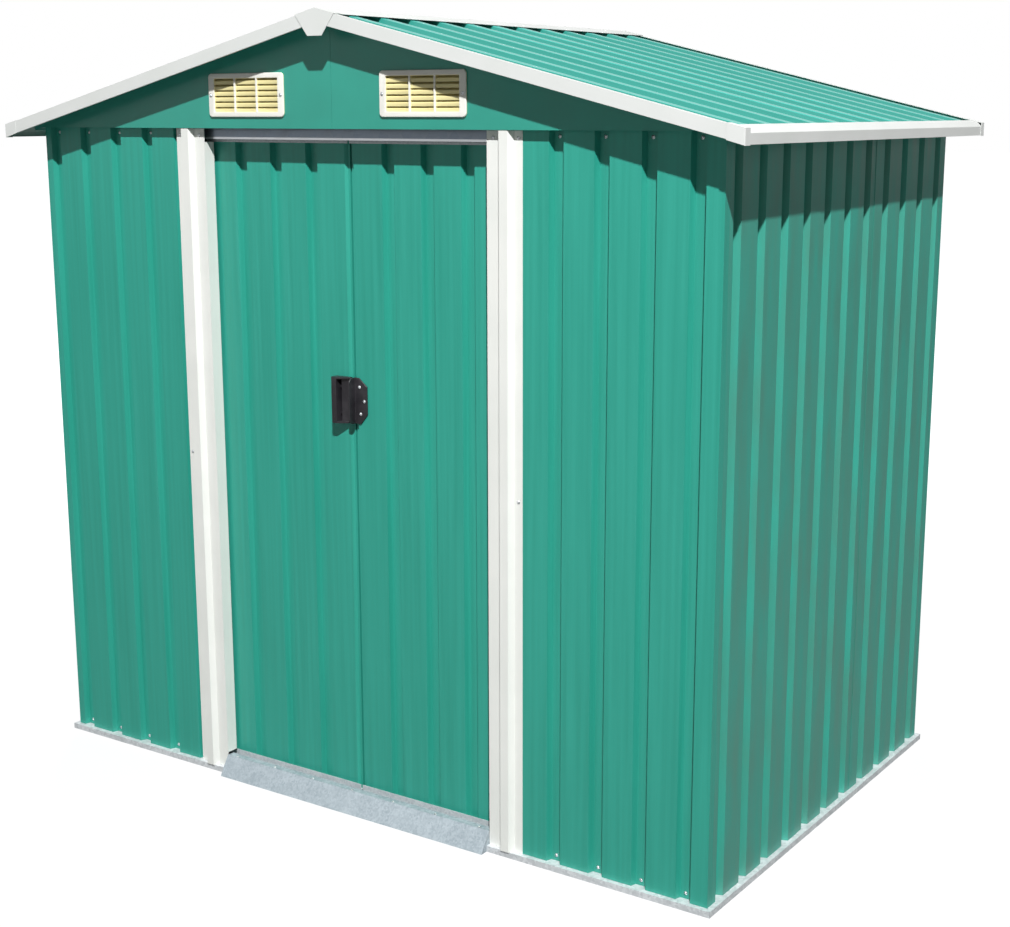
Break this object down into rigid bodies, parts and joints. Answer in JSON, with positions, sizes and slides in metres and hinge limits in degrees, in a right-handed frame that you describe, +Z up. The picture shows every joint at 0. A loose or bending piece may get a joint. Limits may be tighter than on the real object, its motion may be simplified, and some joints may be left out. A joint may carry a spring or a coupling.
{
  "type": "metal storage shed",
  "caption": "Ribbed sheet-metal garden shed with a low gable roof, louvred gable vents, a door ramp and two sliding doors.",
  "frame": {"origin": "centre of the shed's base, on the ground", "axes": "+X to the right seen from the front, across the width; +Y from the doors to the back wall; +Z up"},
  "size_m": [2.0472, 1.3178, 1.8523],
  "materials": {
    "wall_green": "satin",
    "roof_green": "satin",
    "trim_white": "satin",
    "galvanised": "spangled",
    "track_grey": "satin",
    "vent_plastic": "matte",
    "handle_plastic": "matte",
    "glide_plastic": "matte"
  },
  "bodies": {
    "shed": {"back_wall": "wall_green", "base_rail_back": "galvanised", "base_rail_front": "galvanised", "base_rail_left": "galvanised", "base_rail_right": "galvanised", "corner_caps": "trim_white", "door_ramp": "galvanised", "door_track_bottom": "galvanised", "door_track_top": "track_grey", "eave_trim_left": "trim_white", "eave_trim_right": "trim_white", "front_wall_left": "wall_green", "front_wall_right": "wall_green", "gable_back": "wall_green", "gable_front": "wall_green", "gable_vents_back": "vent_plastic", "gable_vents_front": "vent_plastic", "jamb_left": "trim_white", "jamb_right": "trim_white", "ridge_beam": "galvanised", "ridge_cap": "trim_white", "ridge_plate_back": "trim_white", "ridge_plate_front": "trim_white", "roof_beams": "galvanised", "roof_left": "roof_green", "roof_right": "roof_green", "side_wall_left": "wall_green", "side_wall_right": "wall_green", "verge_trims_back": "trim_white", "verge_trims_front": "trim_white", "wall_rails_back": "galvanised", "wall_rails_left": "galvanised", "wall_rails_right": "galvanised"},
    "door_left": {"door_left": "wall_green", "door_left_bottom_rail": "galvanised", "door_left_glides": "glide_plastic", "door_left_handle": "handle_plastic", "door_left_top_rail": "galvanised"},
    "door_right": {"door_right": "wall_green", "door_right_bottom_rail": "galvanised", "door_right_glides": "glide_plastic", "door_right_handle": "handle_plastic", "door_right_top_rail": "galvanised"}
  },
  "joints": [
    {"name": "door_left_slide", "type": "slide", "parent": "shed", "child": "door_left", "axis": [-1, 0, 0], "range_m": [0, 0.347]},
    {"name": "door_right_slide", "type": "slide", "parent": "shed", "child": "door_right", "axis": [1, 0, 0], "range_m": [0, 0.347]}
  ]
}
